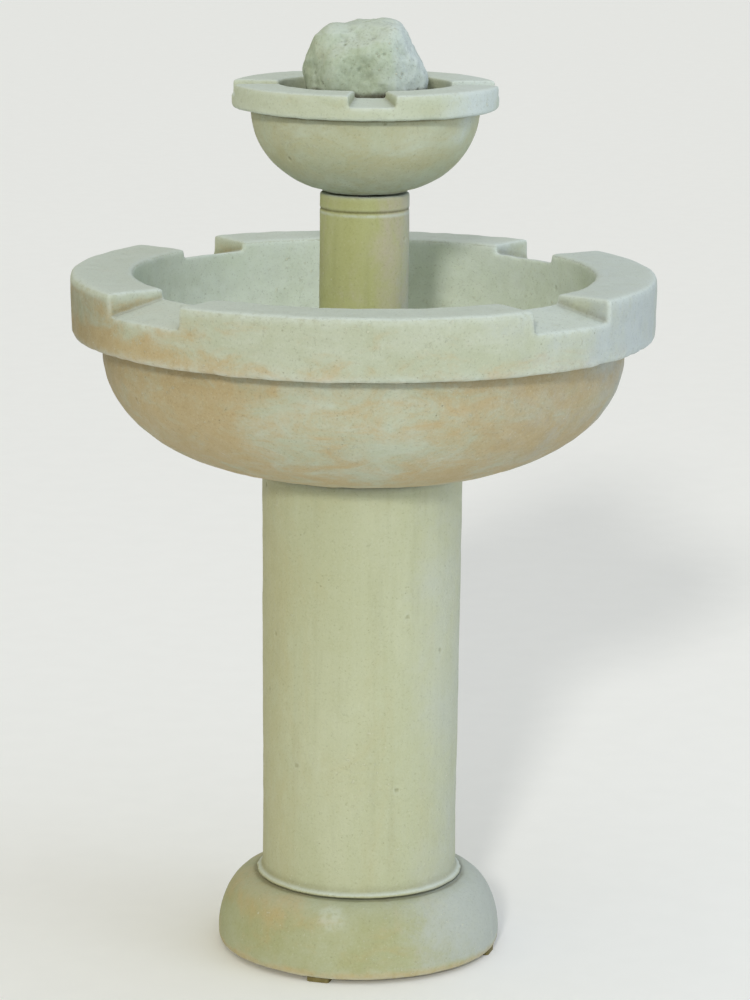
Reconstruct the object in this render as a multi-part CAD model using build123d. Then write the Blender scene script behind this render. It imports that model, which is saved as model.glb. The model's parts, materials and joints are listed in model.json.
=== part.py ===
from build123d import *
import os
from math import cos, radians, sin

# Two-tier cast-stone garden fountain. Millimetres, +Z up. The origin is on the ground,
# on the axis of the column, and -Y is the front. Angles run about Z from +X.

# ---- driving dimensions: heights above the ground --------------------------------
PAD_HEIGHT = 6.0
BASE_TOP = 98.0
JOINT = 2.0
COLUMN_TOP = 652.0
BASIN_FLOOR = 712.0
BASIN_BAND_BOTTOM = 831.0
BASIN_RIM = 912.0
RISER_TOP = 1015.0
BOWL_FLOOR = 1052.0
BOWL_BAND_BOTTOM = 1125.0
BOWL_RIM = 1157.0
ROCK_TOP = 1235.0
PIPE_TOP = 1220.0

# ---- driving dimensions: radii and widths ---------------------------------------
BASE_R = 187.0
BASE_SHOULDER_R = 140.0
BASE_CAVITY_R = 150.0
COLUMN_TOP_R = 132.0
COLUMN_FOOT_R = 129.0
COLUMN_LIP_R = 137.0
COLUMN_BORE_R = 98.0
BASIN_R = 381.0
BASIN_MOUTH_R = 300.0
BASIN_BELLY_R = 340.0
RISER_R = 58.0
RISER_BORE_R = 43.0
BOWL_R = 173.0
BOWL_MOUTH_R = 113.0
BOWL_BELLY_R = 148.0
BOWL_HOLE_R = 15.0
ROCK_WIDTH = 153.0
ROCK_DEPTH = 142.0
ROCK_BORE_R = 9.0
PIPE_R = 6.35
PIPE_WALL = 0.8

# ---- spill notches: half the angle, and the drop below the rim at both ends -------
BASIN_NOTCH = {"half_angle": 10.0, "inner_drop": 12.0, "outer_drop": 30.0}
BOWL_NOTCH = {"half_angle": 10.0, "inner_drop": 9.0, "outer_drop": 15.5}
BASIN_NOTCH_START = 45.0
BOWL_TWIST = 4.4

# ---- pump, inside the foot of the riser ------------------------------------------
CUP_HEIGHT = 6.0
PUMP_AXIS_Z = BASIN_FLOOR + 26.0
PUMP_HALF_WIDTH = 18.0
PUMP_HALF_HEIGHT = 20.0
MOTOR_BACK_Y = -36.0
MOTOR_FRONT_Y = -8.0
VOLUTE_R = 19.0
VOLUTE_FRONT_Y = 8.0
PLATE_FRONT_Y = 11.0
COVER_FRONT_Y = 35.0
SHAFT_R = 1.2
RUNNING_GAP = 0.05
NOZZLE_TOP = 776.0
PIPE_BOTTOM = 780.0
HOSE_BOTTOM = 760.0
HOSE_TOP = 812.0
HOSE_WALL = 2.5

# ---- drain, through the basin's floor beside the riser ---------------------------
DRAIN_RADIUS = 78.0
DRAIN_ANGLE = 45.0
DRAIN_R = 16.0
SLEEVE_WALL = 2.5

# ---- doorway in the riser, and how far each notch's cutter runs past its rim --------
DOOR_WIDTH = 60.0
DOOR_HEIGHT = 70.0
NOTCH_OVERRUN = 20.0

parts = {}


# ---- helpers ---------------------------------------------------------------------
def turned(*outline, rounds=()):
    """Turn a closed outline of (radius, height) edges about Z, after rounding corners."""
    face = make_face(Curve() + list(outline))
    for corner, radius in rounds:
        vertex = face.vertices().sort_by_distance(Vector(*corner))[0]
        face = fillet(vertex, radius)
    return revolve(Plane.XZ * face, Axis.Z)


def quarter_ellipse(centre_r, centre_z, side_r, end_z, size=90.0):
    """An arc that leaves the side upright and, after 90 degrees, reaches the end level."""
    sweep = size if end_z > centre_z else -size
    return EllipticalCenterArc(
        (centre_r, centre_z), side_r - centre_r, abs(end_z - centre_z), 0, arc_size=sweep
    )


def tube(inner_r, outer_r, z_low, z_high):
    """A straight tube about Z."""
    height = z_high - z_low
    place = Pos(0, 0, (z_low + z_high) / 2)
    return place * (Cylinder(outer_r, height) - Cylinder(inner_r, height + 1))


def rod_z(radius, z_low, z_high, x=0.0, y=0.0):
    """A rod along Z."""
    return Pos(x, y, (z_low + z_high) / 2) * Cylinder(radius, z_high - z_low)


def rod_y(radius, y_low, y_high, x=0.0, z=PUMP_AXIS_Z):
    """A rod along Y, on the pump's axis unless told otherwise."""
    place = Pos(x, (y_low + y_high) / 2, z) * Rot(90, 0, 0)
    return place * Cylinder(radius, y_high - y_low)


def block(x, y, z):
    """A box from three (low, high) pairs."""
    centre = [(low + high) / 2 for low, high in (x, y, z)]
    return Pos(*centre) * Box(x[1] - x[0], y[1] - y[0], z[1] - z[0])


def spill_notch(notch, angle, mouth_r, rim_r, rim_z):
    """A radial notch through a rim, whose floor falls outwards."""
    inner_r = mouth_r - NOTCH_OVERRUN
    outer_r = rim_r + NOTCH_OVERRUN
    fall = (notch["outer_drop"] - notch["inner_drop"]) / (rim_r - mouth_r)
    inner_z = rim_z - notch["inner_drop"] + fall * (mouth_r - inner_r)
    outer_z = rim_z - notch["outer_drop"] - fall * (outer_r - rim_r)
    top_z = rim_z + NOTCH_OVERRUN
    corners = ((inner_r, inner_z), (outer_r, outer_z), (outer_r, top_z), (inner_r, top_z))
    outline = Polyline(*corners, close=True)
    wedge = revolve(Plane.XZ * make_face(outline), Axis.Z, 2 * notch["half_angle"])
    return Rot(0, 0, angle - notch["half_angle"]) * wedge


def joint_pads(name, radius, size, z_low, first_angle):
    """Three flat rubber pads that a casting sits on."""
    length, width = size
    for number in range(3):
        place = Rot(0, 0, first_angle + 120 * number) * Pos(radius, 0, z_low + JOINT / 2)
        parts[f"{name}_{number + 1}"] = place * Box(width, length, JOINT)


# ---- base ------------------------------------------------------------------------
def make_base():
    """Round bullnose base, hollow from below, with a notch at the back for the lead."""
    wide_z = PAD_HEIGHT + 9
    cavity_top = 62.0
    cavity_top_r = BASE_CAVITY_R - 32
    hole_r = 55.0
    wide_r = BASE_R + 2
    outline = (
        Line((BASE_CAVITY_R, PAD_HEIGHT), (BASE_R, PAD_HEIGHT)),
        Line((BASE_R, PAD_HEIGHT), (wide_r, wide_z)),
        quarter_ellipse(BASE_SHOULDER_R, wide_z, wide_r, BASE_TOP),
        Line((BASE_SHOULDER_R, BASE_TOP), (hole_r, BASE_TOP)),
        Line((hole_r, BASE_TOP), (hole_r, cavity_top)),
        Line((hole_r, cavity_top), (cavity_top_r, cavity_top)),
        Line((cavity_top_r, cavity_top), (BASE_CAVITY_R, PAD_HEIGHT)),
    )
    rounds = [((BASE_R, PAD_HEIGHT), 2.5), ((cavity_top_r, cavity_top), 12)]
    casting = turned(*outline, rounds=rounds)
    notch_half = 15.0
    arch_z = PAD_HEIGHT + 12
    along = (cavity_top_r, BASE_R + 10)
    notch = block((-notch_half, notch_half), along, (0, arch_z)) + rod_y(notch_half, *along, z=arch_z)
    parts["base"] = casting - notch


def make_levelling_pads():
    """Four rubber pads under the base's outer wall."""
    pad_radius = 169.5
    first_angle = 255.0
    pad = fillet(Box(32, 30, PAD_HEIGHT).edges().filter_by(Axis.Z), 4)
    for number in range(4):
        place = Rot(0, 0, first_angle + 90 * number) * Pos(pad_radius, 0, PAD_HEIGHT / 2)
        parts[f"levelling_pad_{number + 1}"] = place * pad


# ---- column ----------------------------------------------------------------------
def make_column():
    """Hollow round column, a little wider at the top, with a flared lip at its foot."""
    foot = BASE_TOP + JOINT
    lip_top = foot + 4
    flare_top = lip_top + (COLUMN_LIP_R - COLUMN_FOOT_R)
    outline = (
        Line((COLUMN_BORE_R, foot), (COLUMN_LIP_R, foot)),
        Line((COLUMN_LIP_R, foot), (COLUMN_LIP_R, lip_top)),
        RadiusArc((COLUMN_LIP_R, lip_top), (COLUMN_FOOT_R, flare_top), COLUMN_LIP_R - COLUMN_FOOT_R),
        Line((COLUMN_FOOT_R, flare_top), (COLUMN_TOP_R, COLUMN_TOP)),
        Line((COLUMN_TOP_R, COLUMN_TOP), (COLUMN_BORE_R, COLUMN_TOP)),
        Line((COLUMN_BORE_R, COLUMN_TOP), (COLUMN_BORE_R, foot)),
    )
    rounds = [((COLUMN_LIP_R, foot), 1.5), ((COLUMN_LIP_R, lip_top), 1), ((COLUMN_TOP_R, COLUMN_TOP), 3)]
    parts["column"] = turned(*outline, rounds=rounds)
    pad_radius = (COLUMN_BORE_R + COLUMN_FOOT_R) / 2
    joint_pads("column_pad", pad_radius, (26, 20), BASE_TOP, 270)
    joint_pads("basin_pad", pad_radius, (26, 20), COLUMN_TOP, 270)


# ---- basin -----------------------------------------------------------------------
def drain_place():
    """The drain's place on the basin's floor."""
    angle = radians(DRAIN_ANGLE)
    return DRAIN_RADIUS * cos(angle), DRAIN_RADIUS * sin(angle)


def make_basin():
    """Wide round basin with a thick rim band, cut by four spill notches."""
    bottom = COLUMN_TOP + JOINT
    foot_r = 110.0
    belly_z = 807.0
    hollow_r = 120.0
    hollow_z = 870.0
    lean = 2.0
    outline = (
        Line((0, bottom), (foot_r, bottom)),
        quarter_ellipse(foot_r, belly_z, BASIN_BELLY_R, bottom),
        Line((BASIN_BELLY_R, belly_z), (BASIN_BELLY_R + lean, BASIN_BAND_BOTTOM)),
        Line((BASIN_BELLY_R + lean, BASIN_BAND_BOTTOM), (BASIN_R - lean, BASIN_BAND_BOTTOM)),
        Line((BASIN_R - lean, BASIN_BAND_BOTTOM), (BASIN_R, BASIN_RIM)),
        Line((BASIN_R, BASIN_RIM), (BASIN_MOUTH_R, BASIN_RIM)),
        Line((BASIN_MOUTH_R, BASIN_RIM), (BASIN_MOUTH_R, hollow_z)),
        quarter_ellipse(hollow_r, hollow_z, BASIN_MOUTH_R, BASIN_FLOOR),
        Line((hollow_r, BASIN_FLOOR), (0, BASIN_FLOOR)),
        Line((0, BASIN_FLOOR), (0, bottom)),
    )
    rounds = [
        ((BASIN_BELLY_R + lean, BASIN_BAND_BOTTOM), 3),
        ((BASIN_R - lean, BASIN_BAND_BOTTOM), 6),
        ((BASIN_R, BASIN_RIM), 6),
        ((BASIN_MOUTH_R, BASIN_RIM), 5),
    ]
    casting = turned(*outline, rounds=rounds)
    for quarter in range(4):
        angle = BASIN_NOTCH_START + 90 * quarter
        casting -= spill_notch(BASIN_NOTCH, angle, BASIN_MOUTH_R, BASIN_R, BASIN_RIM)
    x, y = drain_place()
    parts["basin"] = casting - rod_z(DRAIN_R, bottom - 1, BASIN_FLOOR + 1, x, y)


def make_drain():
    """Plastic sleeve cast into the floor, and the split rubber stopper that closes it."""
    bottom = COLUMN_TOP + JOINT
    place = Pos(*drain_place(), 0)
    sleeve_r = DRAIN_R - SLEEVE_WALL
    parts["hub_sleeve"] = place * tube(sleeve_r, DRAIN_R, bottom, BASIN_FLOOR)
    gap = 0.2
    plug_bottom = BASIN_FLOOR - 22
    head_r = DRAIN_R + 1
    head_top = BASIN_FLOOR + 4
    knob_r = 4.5
    knob_top = head_top + 11
    lead_hole_r = 3.0
    outline = Polyline(
        (0, plug_bottom), (sleeve_r - 1.5, plug_bottom), (sleeve_r - gap, BASIN_FLOOR + gap),
        (head_r, BASIN_FLOOR + gap), (head_r, head_top), (knob_r, head_top), (knob_r, knob_top),
        (0, knob_top), close=True,
    )
    rounds = [((head_r, head_top), 1.5), ((knob_r, knob_top), 2), ((knob_r, head_top), 2)]
    plug = turned(outline, rounds=rounds)
    plug -= rod_z(lead_hole_r, plug_bottom - 1, knob_top + 1, x=9)
    plug -= block((9, head_r + 1), (-0.6, 0.6), (plug_bottom - 1, head_top + 1))
    parts["drain_stopper"] = place * plug


# ---- riser -----------------------------------------------------------------------
def make_riser():
    """Plain round riser with one incised ring, and a doorway at the back of its foot."""
    foot = BASIN_FLOOR + JOINT
    ring_z = RISER_TOP - 20.6
    ring_half = 2.0
    ring_depth = 2.0
    outline = Polyline(
        (RISER_BORE_R, foot), (RISER_R, foot), (RISER_R, ring_z - ring_half),
        (RISER_R - ring_depth, ring_z), (RISER_R, ring_z + ring_half), (RISER_R, RISER_TOP),
        (RISER_BORE_R, RISER_TOP), close=True,
    )
    rounds = [((RISER_R, foot), 2), ((RISER_R, RISER_TOP), 2)]
    casting = turned(outline, rounds=rounds)
    half = DOOR_WIDTH / 2
    door_top = foot + DOOR_HEIGHT
    door = block((-half, half), (20, RISER_R + 5), (foot - 5, door_top))
    arch = fillet(door.edges().filter_by(Axis.Y).group_by(Axis.Z)[-1], 18)
    parts["riser"] = casting - arch
    pad_radius = (RISER_BORE_R + RISER_R) / 2
    joint_pads("riser_pad", pad_radius, (14, 11), BASIN_FLOOR, 30)
    joint_pads("bowl_pad", pad_radius - 1, (14, 10), RISER_TOP, 30)


# ---- upper bowl ------------------------------------------------------------------
def make_upper_bowl():
    """Small bowl with a rim band, cut by four spill notches, and a hole for the pipe."""
    bottom = RISER_TOP + JOINT
    foot_r = 55.0
    centre_r = 30.0
    floor_r = 50.0
    hollow_z = 1130.0
    lean = 1.0
    foot_angle = 77.0
    belly = quarter_ellipse(centre_r, BOWL_BAND_BOTTOM, BOWL_BELLY_R, bottom, foot_angle)
    outline = (
        Line((BOWL_HOLE_R, bottom), (foot_r, bottom)),
        Line((foot_r, bottom), belly @ 1),
        belly,
        Line((BOWL_BELLY_R, BOWL_BAND_BOTTOM), (BOWL_R - lean, BOWL_BAND_BOTTOM)),
        Line((BOWL_R - lean, BOWL_BAND_BOTTOM), (BOWL_R, BOWL_RIM)),
        Line((BOWL_R, BOWL_RIM), (BOWL_MOUTH_R, BOWL_RIM)),
        Line((BOWL_MOUTH_R, BOWL_RIM), (BOWL_MOUTH_R, hollow_z)),
        quarter_ellipse(floor_r, hollow_z, BOWL_MOUTH_R, BOWL_FLOOR),
        Line((floor_r, BOWL_FLOOR), (BOWL_HOLE_R, BOWL_FLOOR)),
        Line((BOWL_HOLE_R, BOWL_FLOOR), (BOWL_HOLE_R, bottom)),
    )
    rounds = [
        ((BOWL_R - lean, BOWL_BAND_BOTTOM), 4),
        ((BOWL_R, BOWL_RIM), 4),
        ((BOWL_MOUTH_R, BOWL_RIM), 3),
    ]
    casting = turned(*outline, rounds=rounds)
    for quarter in range(4):
        angle = BOWL_TWIST + 90 * quarter
        casting -= spill_notch(BOWL_NOTCH, angle, BOWL_MOUTH_R, BOWL_R, BOWL_RIM)
    parts["upper_bowl"] = casting
    stopper_bottom = bottom + 4
    parts["bowl_stopper"] = tube(PIPE_R + 0.08, BOWL_HOLE_R, stopper_bottom, BOWL_FLOOR - 2)


# ---- boulder ---------------------------------------------------------------------
# Each facet is cut square to a direction (azimuth, elevation), this far from the middle.
ROCK_FACETS = (
    (180, 42, 86.0),
    (0, 28, 79.5),
    (195, 80, 89.0),
    (250, 50, 88.0),
    (75, 38, 86.0),
    (130, 20, 77.0),
    (318, 12, 80.0),
    (215, 8, 80.0),
    (40, -15, 80.0),
)


def make_rock():
    """Lopsided boulder, drilled from top to bottom for the pipe."""
    edge_r = 42.0
    bottom = BOWL_FLOOR + 0.5
    height = ROCK_TOP - bottom
    rock = Box(ROCK_WIDTH, ROCK_DEPTH, height)
    rock = fillet(rock.edges(), edge_r)
    under_facets = [(azimuth, -45, 93.0) for azimuth in range(0, 360, 45)]
    for azimuth, elevation, distance in (*ROCK_FACETS, *under_facets):
        flat = cos(radians(elevation))
        x, y = flat * cos(radians(azimuth)), flat * sin(radians(azimuth))
        direction = Vector(x, y, sin(radians(elevation)))
        rock = split(rock, Plane(origin=direction * distance, z_dir=direction), keep=Keep.BOTTOM)
    rock = Pos(0, 0, (ROCK_TOP + bottom) / 2) * rock
    parts["bubbler_rock"] = rock - rod_z(ROCK_BORE_R, bottom - 1, ROCK_TOP + 1)


# ---- pump ------------------------------------------------------------------------
def make_pump_housing():
    """Sealed motor block, volute with its outlet, and the plate that closes the volute."""
    half_w = PUMP_HALF_WIDTH
    z_low = PUMP_AXIS_Z - PUMP_HALF_HEIGHT
    z_high = PUMP_AXIS_Z + PUMP_HALF_HEIGHT
    rotor_well_r = 7.6
    rotor_well_y = -31.5
    bushing_r = 3.0
    motor = block((-half_w, half_w), (MOTOR_BACK_Y, MOTOR_FRONT_Y), (z_low, z_high))
    motor = fillet(motor.edges().filter_by(Axis.Y), 4)
    motor -= rod_y(rotor_well_r, rotor_well_y, MOTOR_FRONT_Y + 1)
    motor -= rod_y(bushing_r, rotor_well_y - 2.5, rotor_well_y)
    for x, y in cup_places():
        motor -= rod_z(2.5, z_low - 1, z_low + 3, x, y)
    parts["pump_motor"] = motor

    chamber_r = 14.0
    nozzle_bore_r = 4.0
    volute = rod_y(VOLUTE_R, MOTOR_FRONT_Y, VOLUTE_FRONT_Y)
    volute += rod_z(PIPE_R, PUMP_AXIS_Z + chamber_r + 1, NOZZLE_TOP)
    volute -= rod_y(chamber_r, MOTOR_FRONT_Y + 4, VOLUTE_FRONT_Y + 1)
    volute -= rod_y(rotor_well_r, MOTOR_FRONT_Y - 1, MOTOR_FRONT_Y + 5)
    volute -= rod_z(nozzle_bore_r, PUMP_AXIS_Z + 8, NOZZLE_TOP + 1)
    parts["pump_volute"] = volute

    eye_r = 8.0
    hub_r = 4.2
    plate = rod_y(VOLUTE_R, VOLUTE_FRONT_Y, PLATE_FRONT_Y) - rod_y(eye_r, VOLUTE_FRONT_Y - 1, PLATE_FRONT_Y + 1)
    plate += rod_y(hub_r, VOLUTE_FRONT_Y, PLATE_FRONT_Y)
    spoke = block((3, eye_r + 1), (VOLUTE_FRONT_Y, PLATE_FRONT_Y), (-1, 1))
    for number in range(3):
        plate += Pos(0, 0, PUMP_AXIS_Z) * Rot(0, 120 * number, 0) * spoke
    plate -= rod_y(bushing_r, VOLUTE_FRONT_Y - 1, PLATE_FRONT_Y - 1)
    parts["intake_plate"] = plate

    rear_low = rotor_well_y - 2.5
    shaft_front = PLATE_FRONT_Y - 1
    shaft = rod_y(SHAFT_R, rear_low, shaft_front)
    parts["impeller_shaft"] = shaft
    parts["rear_bushing"] = rod_y(bushing_r, rear_low, rotor_well_y) - shaft
    parts["front_bushing"] = rod_y(bushing_r, VOLUTE_FRONT_Y, shaft_front) - shaft
    gland = rod_y(5, MOTOR_BACK_Y - 3.5, MOTOR_BACK_Y, z=z_high - 9)
    parts["cable_gland"] = gland - rod_y(2.6, MOTOR_BACK_Y - 4, MOTOR_BACK_Y - 1, z=z_high - 9)


def cup_places():
    """Where the four suction cups stand."""
    return [(x, y) for x in (-11, 11) for y in (-29, -15)]


def make_suction_cups():
    """Four rubber cups that hold the pump to the basin's floor."""
    block_bottom = BASIN_FLOOR + CUP_HEIGHT
    stem_r = 2.5
    for number, (x, y) in enumerate(cup_places()):
        cup = turned(Polyline(
            (0, BASIN_FLOOR + 2), (5.5, BASIN_FLOOR), (6.5, BASIN_FLOOR), (6.5, BASIN_FLOOR + 1),
            (4, block_bottom), (stem_r, block_bottom), (stem_r, block_bottom + 3),
            (0, block_bottom + 3), close=True,
        ))
        parts[f"suction_cup_{number + 1}"] = Pos(x, y, 0) * cup


def make_rotor():
    """Impeller with its magnet, which turn on the fixed shaft."""
    bore = rod_y(SHAFT_R + RUNNING_GAP, -40, 20)
    magnet_front = -6.0
    disc_front = -1.5
    blade_front = 6.0
    impeller_r = 11.5
    impeller = rod_y(6, magnet_front, MOTOR_FRONT_Y + 5) + rod_y(impeller_r, MOTOR_FRONT_Y + 5, disc_front)
    impeller += rod_y(2.6, disc_front, blade_front + 1)
    blade = block((2, impeller_r), (disc_front, blade_front), (-0.7, 0.7))
    for number in range(6):
        impeller += Pos(0, 0, PUMP_AXIS_Z) * Rot(0, 60 * number, 0) * blade
    parts["impeller"] = impeller - bore
    parts["rotor_magnet"] = rod_y(7, -30.5, magnet_front) - bore


def make_intake():
    """Slotted cover that strains the water, and the dial that throttles its front."""
    cover_r = 18.5
    wall = 1.8
    front_wall = 2.0
    inside_front = COVER_FRONT_Y - front_wall
    cover = rod_y(cover_r, PLATE_FRONT_Y, COVER_FRONT_Y)
    cover -= rod_y(cover_r - wall, PLATE_FRONT_Y - 1, inside_front)
    slot = block((-cover_r - 1, cover_r + 1), (PLATE_FRONT_Y + 4, inside_front - 3), (-1.2, 1.2))
    for number in range(6):
        cover -= Pos(0, 0, PUMP_AXIS_Z) * Rot(0, 30 * number + 15, 0) * slot
    window_r = 2.4
    window_offset = 5.5
    stem_r = 2.0
    windows = [rod_y(window_r, inside_front - 1, COVER_FRONT_Y + 4, x=side * window_offset) for side in (-1, 1)]
    for window in windows:
        cover -= window
    parts["intake_cover"] = cover - rod_y(stem_r + RUNNING_GAP, inside_front - 1, COVER_FRONT_Y + 1)

    dial_back = COVER_FRONT_Y + 0.3
    dial = rod_y(9, dial_back, dial_back + 2) + rod_y(stem_r, inside_front - 0.5, dial_back)
    dial += rod_y(3.2, inside_front - 1.7, inside_front - 0.3)
    for window in windows:
        dial -= window
    grip = block((-1, 1), (dial_back, dial_back + 4), (PUMP_AXIS_Z - 8, PUMP_AXIS_Z + 8))
    parts["flow_dial"] = dial + grip


# ---- plumbing --------------------------------------------------------------------
def make_plumbing():
    """Vinyl hose from the pump to the copper pipe, held by two clamps."""
    parts["copper_pipe"] = tube(PIPE_R - PIPE_WALL, PIPE_R, PIPE_BOTTOM, PIPE_TOP)
    parts["outlet_hose"] = tube(PIPE_R, PIPE_R + HOSE_WALL, HOSE_BOTTOM, HOSE_TOP)
    band_r = PIPE_R + HOSE_WALL
    band_height = 8.0
    band_wall = 0.9
    screw_r = 2.0
    for name, low in (("lower", HOSE_BOTTOM + 4), ("upper", HOSE_TOP - 4 - band_height)):
        middle = low + band_height / 2
        screw_y = -band_r - 4
        housing = block((-4.5, 4.5), (screw_y - 3, -band_r), (low, low + band_height))
        band = tube(band_r, band_r + band_wall, low, low + band_height)
        place = Pos(0, screw_y, middle) * Rot(0, 90, 0)
        hose = rod_z(band_r, HOSE_BOTTOM, HOSE_TOP)
        parts[f"hose_clamp_{name}"] = band + (housing - hose) - place * Cylinder(screw_r, 30)
        head = Pos(0, 0, 8.5) * (Cylinder(3.2, 3) - Pos(0, 0, 1) * Box(0.9, 7, 1.4))
        parts[f"clamp_screw_{name}"] = place * (Cylinder(screw_r, 14) + head)


# ---- build and write -------------------------------------------------------------
make_base()
make_levelling_pads()
make_column()
make_basin()
make_drain()
make_riser()
make_upper_bowl()
make_rock()
make_pump_housing()
make_suction_cups()
make_rotor()
make_intake()
make_plumbing()

os.makedirs("parts", exist_ok=True)
for node, solid in parts.items():
    export_step(solid, f"parts/{node}.step")
print(len(parts), "nodes")
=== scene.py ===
import json
from math import radians

import bpy
import numpy as np
from mathutils import Matrix, Vector


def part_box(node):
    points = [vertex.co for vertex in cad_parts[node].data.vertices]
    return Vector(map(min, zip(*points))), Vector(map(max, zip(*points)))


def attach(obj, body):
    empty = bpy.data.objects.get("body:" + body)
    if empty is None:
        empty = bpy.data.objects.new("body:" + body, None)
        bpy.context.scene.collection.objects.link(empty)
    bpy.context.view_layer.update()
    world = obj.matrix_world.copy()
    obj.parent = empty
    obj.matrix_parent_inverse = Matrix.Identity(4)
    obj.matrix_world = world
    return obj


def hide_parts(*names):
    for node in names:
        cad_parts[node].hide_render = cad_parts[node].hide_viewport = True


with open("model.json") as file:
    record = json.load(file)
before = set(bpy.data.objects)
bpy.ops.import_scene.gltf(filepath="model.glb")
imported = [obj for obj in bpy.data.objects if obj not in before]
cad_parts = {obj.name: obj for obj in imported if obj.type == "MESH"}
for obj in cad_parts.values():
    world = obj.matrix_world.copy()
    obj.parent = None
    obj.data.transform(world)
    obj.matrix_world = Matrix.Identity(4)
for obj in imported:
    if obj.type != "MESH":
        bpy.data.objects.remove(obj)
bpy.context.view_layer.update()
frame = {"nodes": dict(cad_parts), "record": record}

# Two-tier cast-stone garden fountain. Metres, +Z up, -Y is the front.

scene = bpy.context.scene
MM = 0.001

# ---- heights of details below the tops of their castings ---------------------------
BAND_HEIGHT = 0.081
BOWL_BAND_HEIGHT = 0.032
RISER_RING_DROP = 0.0206

# ---- places read from the frame ---------------------------------------------------
RIM_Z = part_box("basin")[1].z
BASIN_BOTTOM_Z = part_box("basin")[0].z
BAND_BOTTOM_Z = RIM_Z - BAND_HEIGHT
BOWL_RIM_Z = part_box("upper_bowl")[1].z
BOWL_BOTTOM_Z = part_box("upper_bowl")[0].z
BOWL_BAND_BOTTOM_Z = BOWL_RIM_Z - BOWL_BAND_HEIGHT
RISER_TOP_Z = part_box("riser")[1].z
RISER_RING_Z = RISER_TOP_Z - RISER_RING_DROP
COLUMN_FOOT_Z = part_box("column")[0].z
COLUMN_TOP_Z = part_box("column")[1].z
BASE_TOP_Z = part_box("base")[1].z
BASE_BOTTOM_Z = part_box("base")[0].z
ROCK_LOW_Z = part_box("bubbler_rock")[0].z
ROCK_TOP_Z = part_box("bubbler_rock")[1].z

# ---- where stains, painted shade and painted highlights start and stop --------------
MOUTH_R = 0.300
BOWL_MOUTH_R = 0.1125
BASIN_BAND_SHADOW_SPAN = (0.330, 0.360)
BOWL_BAND_SHADOW_SPAN = (0.138, 0.162)
COLUMN_LIP_R = 0.139
BOWL_HOLE_R = 0.030
RISER_DIRTY_Z = 0.716
RISER_CLEAN_Z = 0.735
COLUMN_TAN_LOW_Z = 0.60
COLUMN_TAN_HIGH_Z = 0.64
SPLASH_PLACE = (-0.030, -0.164, 0.084)
SPLASH_REACH = 0.024

# ---- the basin's wall: each curve's start radius, reach, drop below the rim, and depth
WALL_INSIDE = (0.12, 0.18, 0.042, 0.158)
WALL_OUTSIDE = (0.11, 0.23, 0.105, 0.153)

# ---- sizes of the unevenness in the castings ----------------------------------------
WAVE_SIZE = 110 * MM
RIPPLE_SIZE = 17 * MM
RIPPLE_SHARE = 0.35
CHIP_SIZE = 30 * MM
EDGE_BULGE = 1.2 * MM
PIT_SPACING = 26 * MM
PIT_DEPTH = 1.1 * MM
PIT_RARITY = 0.93
# Hollows darken with dirt and painted shade, and standing-out edges turn pale with wear and a
# painted highlight, up to these sizes and shares.
HOLLOW_BULGE = 1.8 * MM
HOLLOW_MOST = 0.32
PALE_EDGE_BULGE = 1.4 * MM
PALE_EDGE_MOST = 0.7


# ---- repeatable noise on arrays of points -----------------------------------------
def lattice(cells, seed):
    """A number from 0 to 1 for each whole-number cell."""
    x, y, z = (cells[..., axis].astype(np.int64) for axis in range(3))
    mixed = (x * 73856093) ^ (y * 19349663) ^ (z * 83492791) ^ (seed * 974711)
    mixed = ((mixed ^ (mixed >> 13)) * 1274126177) & 0xFFFFFFFF
    mixed = ((mixed ^ (mixed >> 15)) * 668265263) & 0xFFFFFFFF
    return (mixed >> 8) / float(1 << 24)


def smooth_noise(points, size, seed):
    """Smooth noise from -1 to 1, whose lumps are about size across."""
    scaled = points / size + 1000.0
    cell = np.floor(scaled)
    part = scaled - cell
    part = part * part * (3 - 2 * part)
    total = np.zeros(len(points))
    for corner in np.ndindex(2, 2, 2):
        share = np.prod(np.where(np.array(corner) == 1, part, 1 - part), axis=1)
        total += share * lattice(cell + np.array(corner), seed)
    return total * 2 - 1


def fractal(points, size, seed, octaves=3):
    """Noise with finer layers added, each half the size and half the height."""
    layers = [smooth_noise(points, size / 2 ** k, seed + k) / 2 ** k for k in range(octaves)]
    return sum(layers) / (2 - 2 ** (1 - octaves))


def nearest_spot(points, size, seed):
    """Distance in cells to the nearest scattered spot, one per cell, and that spot's number."""
    scaled = points / size + 1000.0
    cell = np.floor(scaled)
    best = np.full(len(points), 9.0)
    number = np.zeros(len(points))
    for step in np.ndindex(3, 3, 3):
        beside = cell + np.array(step) - 1
        place = beside + np.stack([lattice(beside, seed + axis) for axis in range(3)], axis=1)
        distance = np.linalg.norm(scaled - place, axis=1)
        closer = distance < best
        best = np.where(closer, distance, best)
        number = np.where(closer, lattice(beside, seed + 7), number)
    return best, number


def step_between(value, low, high):
    """0 below low, 1 above high, and smooth between."""
    t = np.clip((value - low) / (high - low), 0, 1)
    return t * t * (3 - 2 * t)


# ---- stone meshes ------------------------------------------------------------------
def evaluated_mesh(piece):
    """The mesh of a piece with its modifiers applied."""
    graph = bpy.context.evaluated_depsgraph_get()
    return bpy.data.meshes.new_from_object(piece.evaluated_get(graph))


def even_copy(node, voxel, smoothing):
    """A new piece with a CAD node's shape, in even faces with softened edges."""
    piece = bpy.data.objects.new(f"{node}_stone", frame["nodes"][node].data.copy())
    scene.collection.objects.link(piece)
    remesh = piece.modifiers.new("even", "REMESH")
    remesh.mode = "VOXEL"
    remesh.voxel_size = voxel
    relax = piece.modifiers.new("soften", "SMOOTH")
    relax.factor = 0.5
    relax.iterations = smoothing
    mesh = evaluated_mesh(piece)
    piece.modifiers.clear()
    piece.data = mesh
    mesh.materials.clear()
    return piece


def read_points(mesh, kind="co"):
    """Vertex positions or normals as an array."""
    values = np.empty(len(mesh.vertices) * 3)
    if kind == "co":
        mesh.vertices.foreach_get("co", values)
    else:
        mesh.vertex_normals.foreach_get("vector", values)
    return values.reshape(-1, 3)


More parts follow.
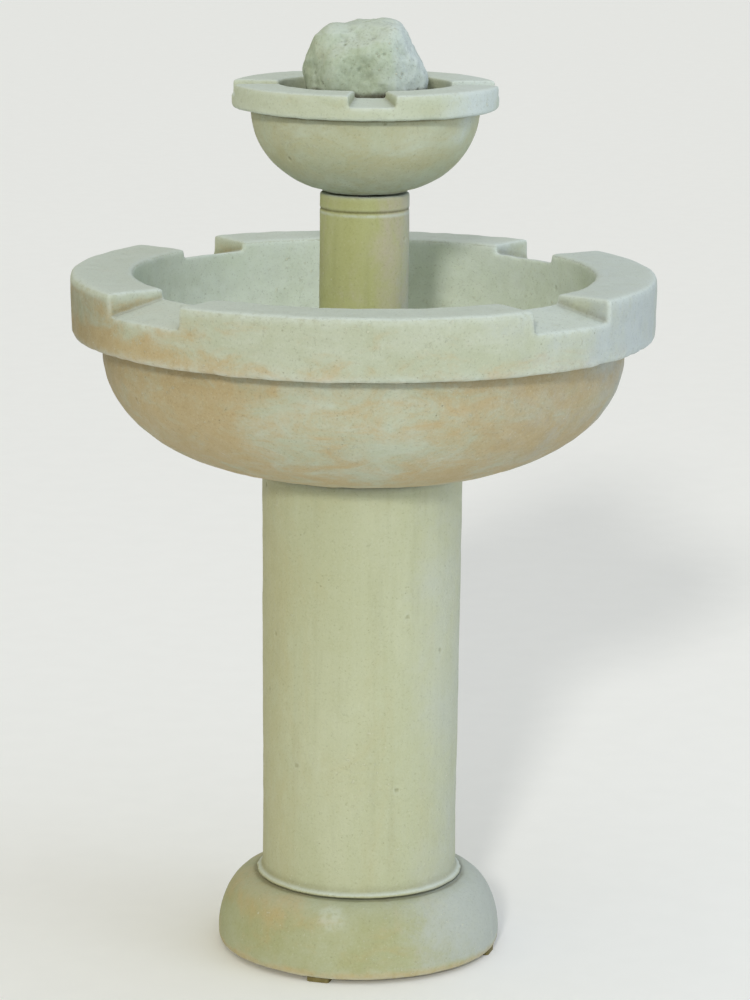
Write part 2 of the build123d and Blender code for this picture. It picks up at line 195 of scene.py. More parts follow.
def write_points(mesh, points):
    """Set the vertex positions."""
    mesh.vertices.foreach_set("co", np.ascontiguousarray(points).ravel())
    mesh.update()


def edge_pairs(mesh):
    """The two vertex numbers of each edge."""
    pairs = np.empty(len(mesh.edges) * 2, dtype=np.int64)
    mesh.edges.foreach_get("vertices", pairs)
    return pairs.reshape(-1, 2)


def spread(values, pairs, rounds):
    """Values averaged over the neighbouring vertices, a few times."""
    count = np.bincount(pairs.ravel(), minlength=len(values)).astype(float)
    flat = values.reshape(len(values), -1)
    for _ in range(rounds):
        total = np.stack(
            [
                np.bincount(pairs[:, 0], column[pairs[:, 1]], len(values))
                + np.bincount(pairs[:, 1], column[pairs[:, 0]], len(values))
                for column in flat.T
            ],
            axis=1,
        )
        flat = 0.5 * flat + 0.5 * total / count[:, None]
    return flat.reshape(values.shape)


def bulge(mesh, rounds):
    """How far each vertex stands out of its surroundings, in metres; hollows are negative."""
    points = read_points(mesh)
    normals = read_points(mesh, "normal")
    return np.sum((points - spread(points, edge_pairs(mesh), rounds)) * normals, axis=1)


def set_layer(mesh, name, values):
    """Store one number per vertex for the materials."""
    layer = mesh.attributes.new(name, "FLOAT", "POINT")
    layer.data.foreach_set("value", np.ascontiguousarray(values, dtype=np.float32))


def weather(piece, wave, chip, seed):
    """Uneven hand-finished faces, and edges that are rounded and chipped here and there."""
    mesh = piece.data
    points = read_points(mesh)
    normals = read_points(mesh, "normal")
    edge = np.clip(bulge(mesh, 8) / EDGE_BULGE, 0, 1)
    push = wave * fractal(points, WAVE_SIZE, seed, 3)
    push += RIPPLE_SHARE * wave * smooth_noise(points, RIPPLE_SIZE, seed + 11)
    broken = step_between(fractal(points, CHIP_SIZE, seed + 20, 3), 0.05, 0.55)
    push -= chip * edge * (0.25 + broken)
    distance, number = nearest_spot(points, PIT_SPACING, seed + 30)
    pit_r = 0.06 + 0.10 * number
    pit = 1 - step_between(distance, 0.5 * pit_r, pit_r)
    push -= PIT_DEPTH * pit * (number > PIT_RARITY)
    write_points(mesh, points + normals * push[:, None])


def paint_layers(piece, tints):
    """Vertex layers for the materials: ochre stains with painted warm shade, a cool tint with
    painted cool side light, dirt with painted shade, and pale wear with painted highlights and
    painted light.
    """
    mesh = piece.data
    points = read_points(mesh)
    shape = bulge(mesh, 10)
    added = tints(points)
    # Hollows get dirt and painted shade; standing-out edges get pale wear and a painted highlight.
    from_shape = {
        "grime_and_shade": np.clip(-shape / HOLLOW_BULGE, 0, HOLLOW_MOST),
        "pale": PALE_EDGE_MOST * np.clip(shape / PALE_EDGE_BULGE, 0, 1),
    }
    for name in ("stain_and_warm_shade", "cool", "grime_and_shade", "pale"):
        start = from_shape.get(name, np.zeros(len(points)))
        set_layer(mesh, name, np.clip(start + added.get(name, 0), 0, 1))
    mesh.polygons.foreach_set("use_smooth", np.ones(len(mesh.polygons), dtype=bool))


def around(points):
    """Distance of each point from the fountain's axis."""
    return np.hypot(points[:, 0], points[:, 1])


def spot(points, centre, reach):
    """1 at a place, falling smoothly to 0 at the reach."""
    return 1 - step_between(np.linalg.norm(points - np.array(centre), axis=1), 0.45 * reach, reach)


def near(value, centre, reach):
    """1 at the centre, falling to 0 at the reach on either side."""
    return np.clip(1 - np.abs(value - centre) / reach, 0, 1)


def inside_span(value, span):
    """True where the value lies within a (low, high) span."""
    return (value > span[0]) & (value < span[1])


# ---- node graphs ---------------------------------------------------------------------
class Graph:
    """Builds one node material, a node at a time."""

    def __init__(self, name):
        self.material = bpy.data.materials.new(name)
        self.material.use_nodes = True
        self.tree = self.material.node_tree
        self.tree.nodes.clear()
        self.output = self.tree.nodes.new("ShaderNodeOutputMaterial")
        self.shader = self.tree.nodes.new("ShaderNodeBsdfPrincipled")
        self.tree.links.new(self.shader.outputs[0], self.output.inputs["Surface"])
        self.place = self.add("ShaderNodeTexCoord").outputs["Object"]

    def add(self, kind, **settings):
        """A new node of a kind."""
        node = self.tree.nodes.new(kind)
        for name, value in settings.items():
            setattr(node, name, value)
        return node

    def feed(self, socket, value):
        """Link a node's output to a socket, or set the socket's own value."""
        if isinstance(value, bpy.types.NodeSocket):
            self.tree.links.new(value, socket)
        elif isinstance(value, tuple) and len(value) == 3 and socket.type == "RGBA":
            socket.default_value = (*value, 1)
        else:
            socket.default_value = value

    def math(self, operation, a, b=0.0, clamp=False):
        """Arithmetic on two values."""
        node = self.add("ShaderNodeMath", operation=operation, use_clamp=clamp)
        self.feed(node.inputs[0], a)
        self.feed(node.inputs[1], b)
        return node.outputs[0]

    def noise(self, size, detail=4.0, rough=0.55, place=None, distort=0.0):
        """Smooth noise whose lumps are about size across."""
        node = self.add("ShaderNodeTexNoise")
        self.feed(node.inputs["Vector"], place or self.place)
        node.inputs["Scale"].default_value = 1 / size
        node.inputs["Detail"].default_value = detail
        node.inputs["Roughness"].default_value = rough
        node.inputs["Distortion"].default_value = distort
        return node.outputs["Fac"]

    def cells(self, size):
        """Distance to the nearest of one scattered point per cell."""
        node = self.add("ShaderNodeTexVoronoi")
        self.feed(node.inputs["Vector"], self.place)
        node.inputs["Scale"].default_value = 1 / size
        return node.outputs["Distance"]

    def stretch(self, x, y, z):
        """The object's own coordinates, scaled along each axis."""
        node = self.add("ShaderNodeMapping")
        self.feed(node.inputs["Vector"], self.place)
        node.inputs["Scale"].default_value = (x, y, z)
        return node.outputs[0]

    def between(self, value, low, high, top=1.0, bottom=0.0):
        """bottom below low, top above high, and smooth between."""
        node = self.add("ShaderNodeMapRange", interpolation_type="SMOOTHSTEP")
        self.feed(node.inputs["Value"], value)
        node.inputs["From Min"].default_value = low
        node.inputs["From Max"].default_value = high
        node.inputs["To Min"].default_value = bottom
        node.inputs["To Max"].default_value = top
        return node.outputs[0]

    def layer(self, name):
        """A layer stored on the mesh by set_layer."""
        return self.add("ShaderNodeAttribute", attribute_name=name).outputs["Fac"]

    def mix(self, share, a, b):
        """Colour a, with a share of colour b."""
        node = self.add("ShaderNodeMix", data_type="RGBA", blend_type="MIX")
        colours = [s for s in node.inputs if s.type == "RGBA"]
        self.feed(node.inputs[0], share)
        self.feed(colours[0], a)
        self.feed(colours[1], b)
        return next(s for s in node.outputs if s.type == "RGBA")

    def bump(self, height, distance, strength, below=None):
        """A bumped normal, on top of another one if it is given."""
        node = self.add("ShaderNodeBump")
        self.feed(node.inputs["Height"], height)
        node.inputs["Distance"].default_value = distance
        node.inputs["Strength"].default_value = strength
        if below is not None:
            self.feed(node.inputs["Normal"], below)
        return node.outputs[0]

    def finish(self, colour, rough, normal=None, **fixed):
        """Feed the shader and return the material. Fixed values go on its own sockets."""
        self.feed(self.shader.inputs["Base Color"], colour)
        self.feed(self.shader.inputs["Roughness"], rough)
        if normal is not None:
            self.feed(self.shader.inputs["Normal"], normal)
        for name, value in fixed.items():
            self.shader.inputs[name.replace("_", " ")].default_value = value
        return self.material


def colour(red, green, blue):
    """A screen colour, 0 to 255, as linear light."""
    shares = (value / 255 for value in (red, green, blue))
    return tuple(((s + 0.055) / 1.055) ** 2.4 if s > 0.04 else s / 12.92 for s in shares)


# ---- stone materials -------------------------------------------------------------------
OCHRE = colour(180, 161, 120)
TAN = colour(176, 170, 128)
# Cool tint colour, used also for painted cool light on right sides.
COOL = colour(180, 190, 184)
# Dark colour for dirt, streaks and pits, and for painted shade.
DIRT_AND_SHADE = colour(84, 77, 42)
# Pale colour for lime whitening, and for painted skylight, painted highlights and painted light
# from below.
PALE_BLOOM_AND_LIGHT = colour(204, 214, 208)
SPECK = colour(206, 208, 184)


def stone(
    name, pale, mid, ochre=TAN, cool=COOL, shade_and_dirt=DIRT_AND_SHADE,
    drift=1.0, streak=0.1, grit=1.0, ochre_most=0.7, top_bloom_and_skylight=0.72,
):
    """Cast stone: patches of green, stains and painted warm shade where the layers say, a cool tint
    with painted cool side light, lime whitening with painted skylight on top faces, pale wear with
    painted highlights, dirt with painted shade, grit and specks.
    """
    g = Graph(name)
    lay = g.stretch(1, 1, drift)
    body = g.mix(g.between(g.noise(110 * MM, 6, 0.62, lay, 0.6), 0.34, 0.66), pale, mid)
    body = g.mix(g.between(g.noise(16 * MM, 6, 0.66, lay), 0.32, 0.70, 0.45), body, mid)

    ragged = g.math("MULTIPLY", g.noise(13 * MM, 6, 0.74), 0.34)
    wide = g.math("ADD", g.noise(75 * MM, 7, 0.66, lay, 0.9), ragged)
    # Ochre layer: real stains, and painted warm shade on the left sides of parts.
    ochre_level = g.math("ADD", wide, g.math("MULTIPLY", g.layer("stain_and_warm_shade"), 0.40))
    body = g.mix(g.between(ochre_level, 0.70, 1.14, ochre_most), body, ochre)
    other = g.math("ADD", g.noise(120 * MM, 6, 0.62, g.stretch(1.1, 0.9, 0.8), 0.5), ragged)
    # Cool layer: a cool tint, and painted cool light on right sides and inside the basin.
    cool_level = g.math("ADD", other, g.math("MULTIPLY", g.layer("cool"), 0.62))
    body = g.mix(g.between(cool_level, 0.78, 1.28, 0.95), body, cool)

    runs = g.noise(24 * MM, 5, 0.6, g.stretch(1, 1, 0.08))
    body = g.mix(g.between(runs, 0.5, 0.78, streak), body, DIRT_AND_SHADE)

    # Up-facing faces turn paler: lime whitening, and painted skylight on the tops.
    up = g.add("ShaderNodeSeparateXYZ")
    g.feed(up.inputs[0], g.add("ShaderNodeNewGeometry").outputs["Normal"])
    body = g.mix(g.between(up.outputs["Z"], 0.45, 0.95, top_bloom_and_skylight), body, PALE_BLOOM_AND_LIGHT)

    # Patchy pale layer: wear, a splash, painted highlights and painted light from below.
    pale_patches = g.between(g.noise(12 * MM, 4), 0.30, 0.58, 1.0, 0.35)
    body = g.mix(g.math("MULTIPLY", g.layer("pale"), pale_patches), body, PALE_BLOOM_AND_LIGHT)
    # The dark layer darkens the stone: dirt, and painted shade in hollows, under bands and at
    # joints.
    dark_patches = g.between(g.noise(22 * MM, 5, 0.65), 0.25, 0.62, 1.0, 0.65)
    body = g.mix(g.math("MULTIPLY", g.layer("grime_and_shade"), dark_patches, clamp=True), body, shade_and_dirt)

    grains = g.noise(3.2 * MM, 4, 0.7)
    body = g.mix(g.between(grains, 0.54, 0.74, 0.20 * grit), body, SPECK)
    body = g.mix(g.between(grains, 0.46, 0.26, 0.26 * grit), body, DIRT_AND_SHADE)
    gritty = g.between(g.noise(70 * MM, 4, 0.6, lay), 0.44, 0.60)
    flecks = g.between(g.noise(7 * MM, 4, 0.72), 0.60, 0.70)
    flecks = g.math("MULTIPLY", flecks, gritty)
    body = g.mix(g.math("MULTIPLY", flecks, 0.50 * grit), body, SPECK)
    few = g.between(g.noise(45 * MM, 3), 0.56, 0.66)
    pits = g.math("MULTIPLY", g.between(g.cells(9 * MM), 0.15, 0.04), few)
    body = g.mix(g.math("MULTIPLY", pits, 0.45), body, DIRT_AND_SHADE)

    normal = g.bump(g.noise(9 * MM, 6, 0.66), 1.2 * MM, 0.62)
    normal = g.bump(grains, 0.6 * MM, 0.55 * grit, normal)
    normal = g.bump(g.math("SUBTRACT", flecks, pits), 0.8 * MM, 0.6 * grit, normal)
    rough = g.between(g.noise(30 * MM, 5), 0.3, 0.7, 0.80, 0.58)
    return g.finish(body, rough, normal, Specular_IOR_Level=0.36)


basin_stone = stone(
    "basin_cast_stone", colour(184, 190, 172), colour(173, 179, 154), OCHRE,
    cool=colour(173, 182, 182), drift=2.2, streak=0.04, grit=1.3, ochre_most=0.95,
)
# A paler copy of the basin stone for the inside of the basin: painted light on the inner walls.
hollow_lit_stone = stone(
    "basin_hollow_lit_stone", colour(206, 215, 203), colour(196, 206, 189), cool=colour(206, 215, 210),
    drift=1.2, streak=0.03, grit=1.3, ochre_most=0.25,
)
column_stone = stone(
    "column_cast_stone", colour(183, 187, 157), colour(176, 180, 147), cool=colour(180, 185, 168),
    drift=0.4, streak=0.10, ochre_most=0.5,
)
base_stone = stone(
    "base_cast_stone", colour(166, 170, 136), colour(157, 159, 115), colour(178, 160, 112),
    cool=colour(172, 178, 170), drift=1.4, streak=0.03, ochre_most=0.85, top_bloom_and_skylight=0.15,
)
riser_stone = stone(
    "riser_cast_stone", colour(186, 190, 142), colour(172, 174, 119), colour(184, 175, 156),
    drift=0.6, streak=0.12, ochre_most=0.8,
)
bowl_stone = stone(
    "bowl_cast_stone", colour(190, 197, 177), colour(179, 186, 160), cool=colour(194, 204, 202),
    drift=1.8, streak=0.04, grit=1.2,
)
# Its dark colour is for painted shade on the boulder below the bowl's rim.
rock_stone = stone(
    "boulder_cast_stone", colour(173, 186, 165), colour(163, 176, 152), cool=colour(194, 205, 202),
    shade_and_dirt=colour(50, 42, 20), grit=1.7, streak=0.0, top_bloom_and_skylight=0.5,
)


# ---- the castings ------------------------------------------------------------------------
def casting(node, body, materials, voxel, smoothing, wave, chip, seed, tints, hollow=None):
    """One weathered piece for a CAD node. Faces in its hollow take the second material."""
    piece = even_copy(node, voxel, smoothing)
    weather(piece, wave, chip, seed)
    paint_layers(piece, tints)
    mesh = piece.data
    for material in materials:
        mesh.materials.append(material)
    if hollow is not None:
        centres = np.empty(len(mesh.polygons) * 3)
        mesh.polygons.foreach_get("center", centres)
        in_hollow = hollow(centres.reshape(-1, 3)).astype(np.int32)
        mesh.polygons.foreach_set("material_index", in_hollow)
    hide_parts(node)
    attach(piece, body)


def wall_curve(radius, start, reach, drop, depth):
    """Height of one curve of the basin's wall, at each radius."""
    return RIM_Z - drop - depth * np.sqrt(1 - np.clip((radius - start) / reach, 0, 1) ** 2)


def basin_hollow(points):
    """True inside the hollow: above the surface halfway between the wall's two curves."""
    z, radius = points[:, 2], around(points)
    middle = (wall_curve(radius, *WALL_INSIDE) + wall_curve(radius, *WALL_OUTSIDE)) / 2
    return (z > middle) & (z < RIM_Z - 0.003) & (radius < MOUTH_R + 0.003)


def basin_tints(points):
    """Ochre on the flanks and the band's foot with painted warm shade on the left, a painted shadow
    under the band, painted shade on the band's left end and at the foot, painted cool light on the
    right, and a cool inside with painted light.
    """
    x, z, radius = points[:, 0], points[:, 2], around(points)
    inside = basin_hollow(points).astype(float)
    outside = 1 - inside
    belly = outside * step_between(z, BAND_BOTTOM_Z + 0.004, BAND_BOTTOM_Z - 0.004)
    band_foot = (outside - belly) * step_between(z, BAND_BOTTOM_Z + 0.050, BAND_BOTTOM_Z)
    flank = step_between(np.abs(x + 0.01), 0.03, 0.22)
    low = belly * step_between(z, BAND_BOTTOM_Z - 0.07, BASIN_BOTTOM_Z + 0.02)
    # Left side: painted warm shade.
    left = step_between(-x, 0.04, 0.34)
    # Right side: painted cool light.
    right = step_between(x, 0.05, 0.38)
    # Painted shade on the band's left end.
    left_end_shade = outside * step_between(-x, 0.27, 0.375)
    side = outside * step_between(z, RIM_Z - 0.004, RIM_Z - 0.014)
    # Painted shadow under the overhanging band.
    under_band_shadow = near(z, BAND_BOTTOM_Z - 0.001, 0.0050) * inside_span(radius, BASIN_BAND_SHADOW_SPAN)
    # Painted shade where the basin sits on the column.
    bottom = 0.6 * near(z, BASIN_BOTTOM_Z, 0.006)
    ochre_belly = belly * (0.42 + 0.50 * flank) + 0.30 * low
    dirty_belly = (0.12 + 0.10 * right) * belly * flank
    return {
        "stain_and_warm_shade": ochre_belly + band_foot * (0.40 + 0.55 * left) + 0.55 * left * side,
        "cool": 0.35 * inside + 0.85 * right * (outside - belly) + 0.60 * right * belly,
        "grime_and_shade": 2.0 * under_band_shadow + 0.45 * left_end_shade * side + dirty_belly + bottom,
    }


def column_tints(points):
    """Painted warm shade on the left side, a tan top, painted cool light on the right side, painted
    shade at the foot and top joints, and less pale wear and painted highlight on the lip.
    """
    x, z = points[:, 0], points[:, 2]
    tan_top = 0.25 * step_between(z, COLUMN_TAN_LOW_Z, COLUMN_TAN_HIGH_Z)
    return {
        # Left ochre is painted warm shade; right cool is painted cool light.
        "stain_and_warm_shade": 0.20 + 0.65 * step_between(-x, 0.05, 0.13) + tan_top,
        "cool": 0.65 * step_between(x, 0.03, 0.12),
        # Painted shade where the column meets the base and the basin.
        "grime_and_shade": 0.9 * near(z, COLUMN_FOOT_Z, 0.003) + 0.55 * near(z, COLUMN_TOP_Z, 0.010),
        "pale": -0.65 * step_between(z, COLUMN_FOOT_Z + 0.030, COLUMN_FOOT_Z + 0.020),
    }


def base_tints(points):
    """Ochre at the foot and on the shoulder, with painted warm shade on the left shoulder, painted
    cool light on the right, a splash, and a painted shadow under the column's lip.
    """
    x, z, radius = points[:, 0], points[:, 2], around(points)
    foot = near(z, BASE_BOTTOM_Z, 0.014)
    shoulder = step_between(z, BASE_TOP_Z - 0.045, BASE_TOP_Z - 0.020)
    # More ochre on the left: painted warm shade.
    shoulder *= step_between(-x, -0.02, 0.08)
    return {
        "stain_and_warm_shade": 0.12 + 1.3 * foot + 0.45 * shoulder,
        # Right side: painted cool light.
        "cool": 0.75 * step_between(x, 0.0, 0.15) * (1 - foot),
        # Painted shadow under the column's lip.
        "grime_and_shade": 0.50 * near(radius, COLUMN_LIP_R, 0.004) * (z > BASE_TOP_Z - 0.01),
        "pale": 0.30 * spot(points, SPLASH_PLACE, SPLASH_REACH),
    }


def riser_tints(points):
    """A pinkish patch on the right, painted cool light at the right edge, a ring with painted shade
    in the groove and a painted highlight on its lower lip, painted shade at the top joint, and dirt
    at the foot.
    """
    x, z = points[:, 0], points[:, 2]
    foot = step_between(z, RISER_CLEAN_Z, RISER_DIRTY_Z)
    # Painted shade in the groove.
    ring = near(z, RISER_RING_Z + 0.001, 0.0026)
    return {
        "stain_and_warm_shade": 0.15 + 0.75 * step_between(x, 0.0, 0.035),
        # Right edge: painted cool light.
        "cool": 0.60 * step_between(x, 0.030, 0.056),
        # Painted shade at the top joint under the bowl; dirt at the foot.
        "grime_and_shade": 0.70 * ring + 0.3 * near(z, RISER_TOP_Z, 0.003) + 0.4 * foot,
        # Painted highlight on the groove's lower lip.
        "pale": 0.55 * near(z, RISER_RING_Z - 0.0042, 0.0028),
    }


def bowl_tints(points):
    """A warm belly, painted light from below on the low belly, painted cool light on the right, a
    painted shadow under the band, painted shade at the foot joint, and a darker inside with
    dampness and painted shade.
    """
    x, z, radius = points[:, 0], points[:, 2], around(points)
    belly = step_between(z, BOWL_BAND_BOTTOM_Z + 0.002, BOWL_BAND_BOTTOM_Z - 0.004)
    # Right side: painted cool light.
    right = step_between(x, 0.06, 0.15)
    outside = radius > BOWL_HOLE_R
    # Painted light from below on the low belly.
    low = step_between(z, BOWL_BOTTOM_Z + 0.045, BOWL_BOTTOM_Z + 0.010) * outside
    # Painted shadow under the band.
    under_band_shadow = near(z, BOWL_BAND_BOTTOM_Z, 0.0042) * inside_span(radius, BOWL_BAND_SHADOW_SPAN)
    # Inside below the rim: dampness and painted shade.
    shade_and_dirt = (radius < BOWL_MOUTH_R) * step_between(z, BOWL_RIM_Z - 0.010, BOWL_RIM_Z - 0.030)
    above_floor = z > BOWL_BOTTOM_Z + 0.033
    return {
        "stain_and_warm_shade": 0.10 + 0.60 * belly * outside,
        "cool": 0.8 * right * (1 - 0.4 * belly),
        # Dark layer: painted shadow under the band, painted shade at the foot joint, and dampness
        # with painted shade inside.
        "grime_and_shade": 1.8 * under_band_shadow + 0.4 * near(z, BOWL_BOTTOM_Z, 0.004) + 0.75 * shade_and_dirt * above_floor,
        "pale": 0.40 * low * belly,
    }


def rock_tints(points):
    """Cool on the right with painted cool light, and a ragged line below the bowl's rim with
    painted shade beneath it that fades downwards.
    """
    z = points[:, 2] + 4 * MM * smooth_noise(points, 18 * MM, 97)
    deep = step_between(z, BOWL_RIM_Z - 0.014, BOWL_RIM_Z - 0.060)
    return {
        # Right side: painted cool light.
        "cool": 0.25 + 0.55 * step_between(points[:, 0], 0.0, 0.06),
        # Painted shade on the boulder below the bowl's rim.
        "grime_and_shade": step_between(z, BOWL_RIM_Z - 0.002, BOWL_RIM_Z - 0.010) * (1 - 0.45 * deep),
    }


# node, body, materials, voxel mm, smoothing rounds, wave mm, chip mm, seed, tints, hollow
CASTINGS = (
    ("base", "stand", [base_stone], 2.4, 5, 0.9, 0.8, 3, base_tints, None),
    ("column", "stand", [column_stone], 2.4, 3, 0.9, 0.6, 17, column_tints, None),
    (
        "basin", "stand", [basin_stone, hollow_lit_stone], 2.8, 4, 1.4, 1.6, 29,
        basin_tints, basin_hollow,
    ),
    ("riser", "riser", [riser_stone], 1.4, 1, 0.5, 0.4, 41, riser_tints, None),
    ("upper_bowl", "upper_bowl", [bowl_stone], 1.9, 4, 1.0, 1.1, 53, bowl_tints, None),
)
for node, body, materials, voxel, smoothing, wave, chip, seed, tints, hollow in CASTINGS:
    casting(node, body, materials, voxel * MM, smoothing, wave * MM, chip * MM, seed, tints, hollow)


# ---- the boulder -------------------------------------------------------------------------
ROCK_VOXEL = 1.7 * MM
ROCK_SMOOTHING = 6
ROCK_SOFTENING = 104
BORE_EDGE_R = 0.010
BORE_CLEAR_R = 0.022
ROCK_PIT_RARITY = 0.72

# Where the boulder bulges or sinks, in millimetres: place from its axis and top, reach, height.
ROCK_LUMPS = (
    ((-50, -18, -26), 40, 11.0),
    ((-34, -10, -6), 30, 3.0),
    ((22, -6, 0), 42, 2.6),
    ((52, -10, -24), 28, 4.0),
    ((66, -12, -70), 34, 3.6),
    ((-70, -14, -62), 30, 3.0),
    ((48, -30, -34), 24, -3.5),
    ((-8, -62, -58), 34, -4.0),
    ((20, -66, -96), 36, 3.5),
    ((6, 60, -40), 40, 5.0),
)


def make_boulder():
    """A natural-looking lopsided boulder: broad bulges, shallow hollows, grit and pits."""
    piece = even_copy("bubbler_rock", ROCK_VOXEL, ROCK_SMOOTHING)
    mesh = piece.data
    points = read_points(mesh)
    solid = step_between(around(points), BORE_EDGE_R, BORE_CLEAR_R)
    points += (spread(points, edge_pairs(mesh), ROCK_SOFTENING) - points) * solid[:, None]
    write_points(mesh, points)
    normals = read_points(mesh, "normal")
    above = step_between(points[:, 2], ROCK_LOW_Z + 0.04, ROCK_LOW_Z + 0.09)
    push = 3.8 * MM * fractal(points, 46 * MM, 74, 3)
    push += 2.2 * MM * (0.35 - np.abs(smooth_noise(points, 25 * MM, 77)))
    push += 1.5 * MM * fractal(points, 10 * MM, 83, 3)
    for place, reach, height in ROCK_LUMPS:
        centre = (place[0] * MM, place[1] * MM, ROCK_TOP_Z + place[2] * MM)
        distance = np.linalg.norm(points - np.array(centre), axis=1)
        push += height * MM * (1 - step_between(distance, 0.15 * reach * MM, reach * MM))
    distance, number = nearest_spot(points, 14 * MM, 91)
    pit_r = 0.10 + 0.16 * number
    push -= 1.5 * MM * (1 - step_between(distance, 0.4 * pit_r, pit_r)) * (number > ROCK_PIT_RARITY)
    write_points(mesh, points + normals * (push * solid * (0.2 + 0.8 * above))[:, None])
    paint_layers(piece, rock_tints)
    mesh.materials.append(rock_stone)
    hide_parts("bubbler_rock")
    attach(piece, "boulder")


make_boulder()


# ---- small parts: the CAD shapes with their own finishes -----------------------------------
def rubber(name, clean, dusty):
    """Matt rubber with dust on it."""
    g = Graph(name)
    body = g.mix(g.between(g.noise(4 * MM, 4), 0.4, 0.7, 0.6), clean, dusty)
    normal = g.bump(g.noise(0.8 * MM, 3), 0.15 * MM, 0.5)
    return g.finish(body, g.between(g.noise(6 * MM, 3), 0.3, 0.7, 0.9, 0.7), normal)


def moulded(name, base, second, rough_low, rough_high, grain=0.5):
    """A moulded or pressed material of two close colours."""
    g = Graph(name)
    body = g.mix(g.between(g.noise(9 * MM, 4), 0.4, 0.7, 0.7), base, second)
    normal = g.bump(g.noise(grain * MM, 2), 0.06 * MM, 0.4)
    return g.finish(body, g.between(g.noise(5 * MM, 3), 0.3, 0.7, rough_high, rough_low), normal)


def metal(name, base, second, tarnish, rough):
    """Drawn or rolled metal with tarnish."""
    g = Graph(name)
    brushed = g.noise(0.5 * MM, 3, place=g.stretch(1, 1, 0.06))
    body = g.mix(g.between(g.noise(7 * MM, 5, 0.65), 0.42, 0.7), base, second)
    body = g.mix(g.between(g.noise(3 * MM, 5, 0.7), 0.62, 0.75, 0.6), body, tarnish)
    normal = g.bump(brushed, 0.05 * MM, 0.4)
    return g.finish(body, g.between(brushed, 0.3, 0.7, rough + 0.15, rough), normal, Metallic=1.0)


def vinyl():
    """Cloudy clear vinyl hose."""
    g = Graph("clear_vinyl")
    cloudy = g.between(g.noise(12 * MM, 4), 0.4, 0.7)
    body = g.mix(cloudy, colour(206, 214, 204), colour(188, 196, 180))
    normal = g.bump(g.noise(3 * MM, 3), 0.1 * MM, 0.3)
    rough = g.between(g.noise(8 * MM), 0.3, 0.7, 0.35, 0.18)
    return g.finish(body, rough, normal, Transmission_Weight=0.55, IOR=1.52)


FINISHES = {
    "rubber_black": rubber("black_rubber", colour(34, 33, 31), colour(62, 60, 54)),
    "pump_black": moulded("pump_moulding", colour(30, 31, 33), colour(44, 45, 46), 0.38, 0.55),
    "dial_grey": moulded("dial_moulding", colour(132, 138, 140), colour(148, 152, 152), 0.35, 0.5),
    "pvc": moulded("pvc_sleeve", colour(222, 220, 208), colour(200, 196, 176), 0.35, 0.5),
    "ferrite": moulded("ferrite_magnet", colour(58, 58, 60), colour(74, 72, 70), 0.5, 0.7, 0.3),
    "ceramic_white": moulded(
        "polished_ceramic", colour(232, 230, 222), colour(224, 220, 208), 0.12, 0.2
    ),
    "stainless": metal(
        "stainless_strip", colour(186, 186, 182), colour(168, 168, 164), colour(140, 134, 122), 0.28
    ),
    "copper": metal(
        "dull_copper", colour(184, 118, 84), colour(150, 90, 62), colour(96, 122, 98), 0.34
    ),
    "vinyl": vinyl(),
}
GROUND_PADS = rubber("dirty_rubber", colour(104, 94, 52), colour(128, 116, 70))
SLOT_OF = {part["node"]: part["material_slot"] for part in frame["record"]["subparts"]}
for node, piece in frame["nodes"].items():
    finish = FINISHES.get(SLOT_OF[node])
    if finish is None:
        continue
    if node.startswith("levelling_pad"):
        finish = GROUND_PADS
    if not piece.material_slots:
        piece.data.materials.append(finish)
    for material_slot in piece.material_slots:
        material_slot.material = finish

# ---- floor and light -----------------------------------------------------------------------
FLOOR_SIZE = 60.0


def make_floor():
    """A plain pale floor."""
    corners = [(-1, -1), (1, -1), (1, 1), (-1, 1)]
    mesh = bpy.data.meshes.new("floor")
    mesh.from_pydata([(x * FLOOR_SIZE, y * FLOOR_SIZE, 0) for x, y in corners], [], [(0, 1, 2, 3)])
    floor = bpy.data.objects.new("floor", mesh)
    scene.collection.objects.link(floor)
    g = Graph("pale_floor")
    body = g.mix(g.between(g.noise(60 * MM, 3), 0.3, 0.7), (0.92, 0.92, 0.91), (0.93, 0.93, 0.92))
    mesh.materials.append(g.finish(body, 0.9))


def aim(lamp, place, target):
    """Put a lamp at a place, facing a target."""
    lamp.location = place
    lamp.rotation_euler = (Vector(target) - Vector(place)).to_track_quat("-Z", "Y").to_euler()
    scene.collection.objects.link(lamp)


def area_light(name, place, target, size, power, tint):
    """A soft square light, aimed at a point."""
    light = bpy.data.lights.new(name, "AREA")
    light.size = size
    light.energy = power
    light.color = tint
    aim(bpy.data.objects.new(name, light), place, target)


def far_light(name, place, target, strength, softness, tint):
    """A large distant light, even over the whole scene."""
    light = bpy.data.lights.new(name, "SUN")
    light.energy = strength
    light.angle = radians(softness)
    light.color = tint
    aim(bpy.data.objects.new(name, light), place, target)


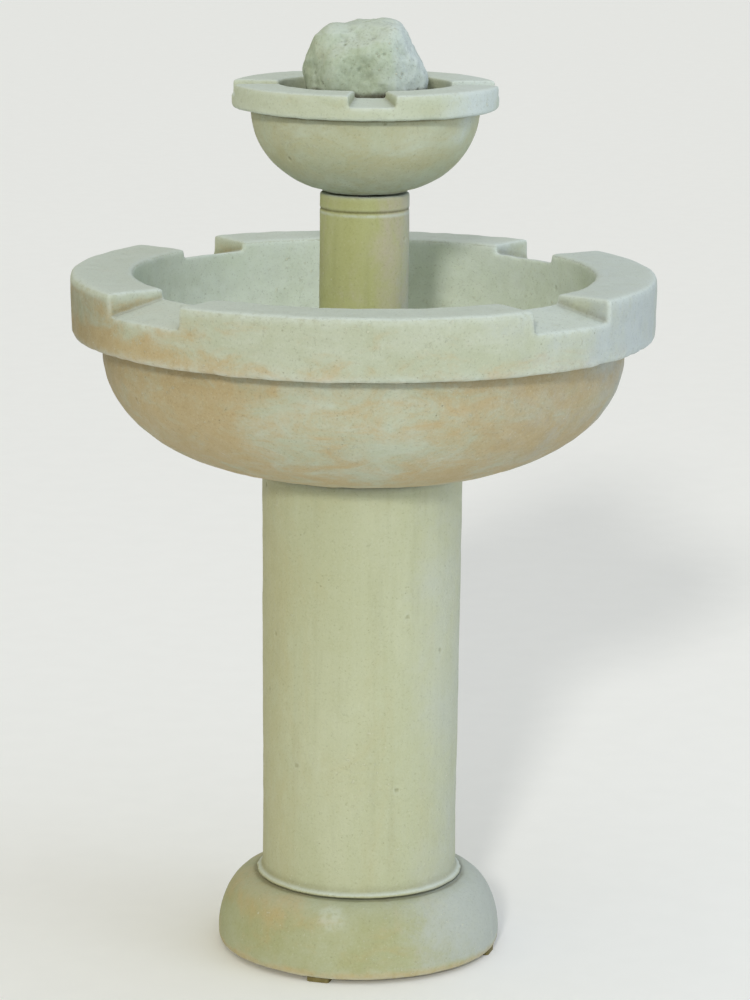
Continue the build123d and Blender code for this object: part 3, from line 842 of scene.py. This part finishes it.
def make_world():
    """A soft surround: brighter overhead, a little warm on the left and cool on the right."""
    world = bpy.data.worlds.new("surround")
    scene.world = world
    world.use_nodes = True
    tree = world.node_tree
    parts = tree.nodes.new("ShaderNodeSeparateXYZ")
    tree.links.new(tree.nodes.new("ShaderNodeTexCoord").outputs["Generated"], parts.inputs[0])
    tint = tree.nodes.new("ShaderNodeMix")
    tint.data_type = "RGBA"
    warm, cool = [socket for socket in tint.inputs if socket.type == "RGBA"]
    warm.default_value = (0.74, 0.70, 0.48, 1)
    cool.default_value = (1.02, 1.08, 1.22, 1)
    for value, low, high, start, end, target in (
        (parts.outputs["X"], -0.8, 0.6, 0.0, 1.0, tint.inputs[0]),
        (parts.outputs["Z"], 0.0, 1.0, 0.46, 0.92, tree.nodes["Background"].inputs["Strength"]),
    ):
        ramp = tree.nodes.new("ShaderNodeMapRange")
        tree.links.new(value, ramp.inputs["Value"])
        ramp.inputs["From Min"].default_value = low
        ramp.inputs["From Max"].default_value = high
        ramp.inputs["To Min"].default_value = start
        ramp.inputs["To Max"].default_value = end
        tree.links.new(ramp.outputs[0], target)
    blended = next(socket for socket in tint.outputs if socket.type == "RGBA")
    tree.links.new(blended, tree.nodes["Background"].inputs["Color"])


make_floor()
make_world()
far_light("key", (-0.64, -4.6, 2.66), (0, 0, 0.8), 1.35, 6.0, (1.0, 0.98, 0.92))
area_light("cool_side", (3.4, -1.6, 1.5), (0, 0, 0.8), 2.0, 26, (0.78, 0.90, 1.0))

# ---- camera ----------------------------------------------------------------------------------
CAMERA_DISTANCE = 4.687
CAMERA_HEIGHT = 1.627
CAMERA_SIDE = 0.017
CAMERA_PITCH = 12.28
CAMERA_ROLL = 0.55
CAMERA_AZIMUTH = 1.4
CAMERA_LENS = 130.97


def make_camera():
    """The camera in front of the fountain, looking a little down."""
    camera = bpy.data.objects.new("camera", bpy.data.cameras.new("camera"))
    turn = Matrix.Rotation(radians(CAMERA_AZIMUTH), 4, "Z")
    place = Matrix.Translation((CAMERA_SIDE, -CAMERA_DISTANCE, CAMERA_HEIGHT))
    tilt = Matrix.Rotation(radians(90 - CAMERA_PITCH), 4, "X")
    roll = Matrix.Rotation(radians(CAMERA_ROLL), 4, "Z")
    camera.matrix_world = turn @ place @ tilt @ roll
    camera.data.lens = CAMERA_LENS
    camera.data.clip_start = 0.1
    camera.data.clip_end = 100
    scene.collection.objects.link(camera)
    scene.camera = camera


make_camera()
scene.view_settings.view_transform = "Standard"
